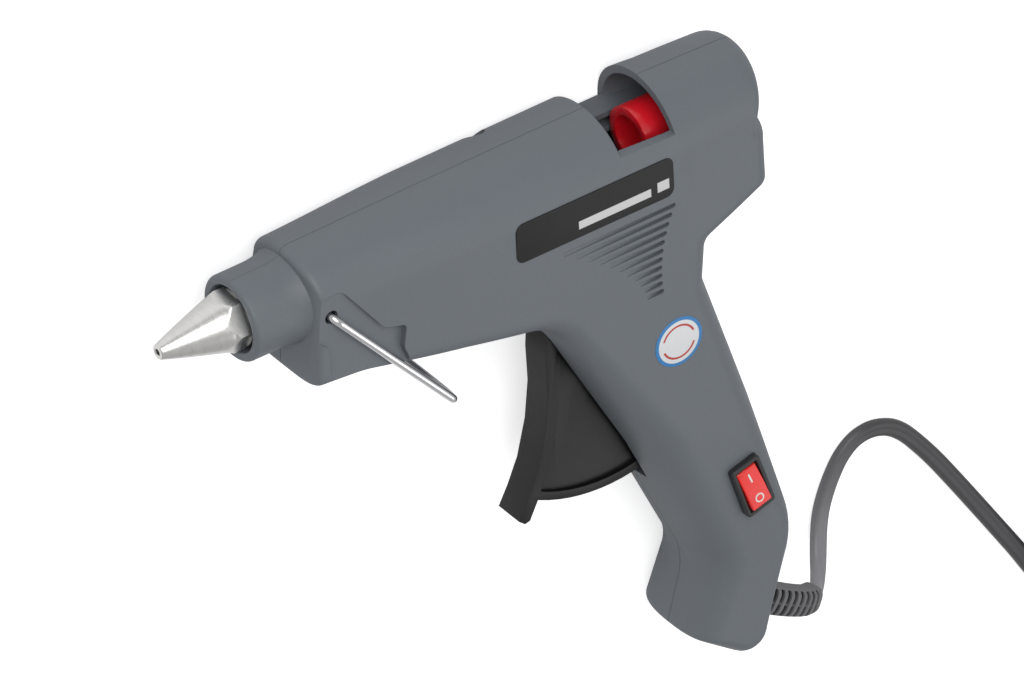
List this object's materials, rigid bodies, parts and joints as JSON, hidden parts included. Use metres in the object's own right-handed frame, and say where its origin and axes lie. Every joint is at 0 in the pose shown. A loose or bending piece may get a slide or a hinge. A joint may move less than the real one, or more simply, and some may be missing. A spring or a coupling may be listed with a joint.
{
  "type": "hot glue gun",
  "caption": "Pistol-shaped hot-melt glue gun with a two-part shell, cone nozzle, trigger-fed stick carriage, rocker switch, fold-out wire stand and coiled mains cord.",
  "frame": {"origin": "centre of the front face of the nozzle collar, on the barrel's axis", "axes": "+X to the rear along the barrel, +Y the gun's own up, +Z out of its left side (the switch side), up while it lies on its right side"},
  "size_m": [0.3568, 0.2383, 0.0379],
  "materials": {
    "casing_grey": "fine matt",
    "steel": "bright",
    "nozzle_aluminium": "turned",
    "cast_aluminium": "cast",
    "heater": "film-wrapped",
    "insulator": "matt",
    "silicone": "matt",
    "red_plastic": "gloss",
    "black_plastic": "satin",
    "bezel_grey": "satin",
    "brass": "plain",
    "wire": "bright",
    "label_black": "satin",
    "sticker_white": "satin",
    "relief_grey": "matt",
    "cord_grey": "satin",
    "lead_blue": "satin"
  },
  "bodies": {
    "casing": {"left_shell": "casing_grey", "right_shell": "casing_grey", "case_screws": "steel", "nozzle": "nozzle_aluminium", "melt_chamber": "cast_aluminium", "ptc_heater": "heater", "heater_clip": "steel", "front_insulator": "insulator", "rear_insulator": "insulator", "stick_sleeve": "silicone", "sleeve_clamp": "steel", "rear_guide": "red_plastic", "trigger_pin": "steel", "return_spring": "steel", "switch_body": "bezel_grey", "switch_terminals": "brass", "rating_label": "label_black", "round_sticker": "sticker_white", "strain_relief": "relief_grey", "cord_clamp": "black_plastic", "clamp_screws": "steel", "inner_cord": "cord_grey", "leads": "lead_blue", "wire_joint": "insulator", "cord": "cord_grey", "cord_coil": "cord_grey", "cord_tie": "black_plastic", "cord_end": "cord_grey", "plug": "cord_grey", "plug_pins": "wire"},
    "carriage": {"feed_carriage": "red_plastic", "grip_pin": "steel"},
    "lever": {"grip_lever": "steel", "drive_pin": "steel"},
    "trigger": {"trigger": "black_plastic"},
    "rocker": {"rocker": "red_plastic"},
    "stand": {"wire_stand": "wire"}
  },
  "joints": [
    {"name": "trigger_hinge", "type": "hinge", "parent": "casing", "child": "trigger", "pos_m": [0.108, -0.052, 0], "axis": [0, 0, 1], "range_deg": [0, 22], "stiffness_Nm_per_rad": 0.5, "springref_deg": -11.46, "deforming": ["return_spring"]},
    {"name": "carriage_slide", "type": "slide", "parent": "casing", "child": "carriage", "axis": [-1, 0, 0], "range_m": [0, 0.0122]},
    {"name": "lever_hinge", "type": "hinge", "parent": "carriage", "child": "lever", "pos_m": [0.1275, -0.0114, 0], "axis": [0, 0, 1], "range_deg": [-4.2, 0.5]},
    {"name": "rocker_hinge", "type": "hinge", "parent": "casing", "child": "rocker", "pos_m": [0.1423, -0.1066, 0.0171], "axis": [0.9578, 0.2874, 0], "range_deg": [0, 16]},
    {"name": "stand_hinge", "type": "hinge", "parent": "casing", "child": "stand", "pos_m": [0.0205, -0.0005, 0], "axis": [0, 0, 1], "range_deg": [-38, 0.6]}
  ],
  "couplings": [
    {"joint": "carriage_slide", "follows": "trigger_hinge", "m_per_rad": 0.0314},
    {"joint": "lever_hinge", "follows": "trigger_hinge", "ratio": -0.18}
  ]
}
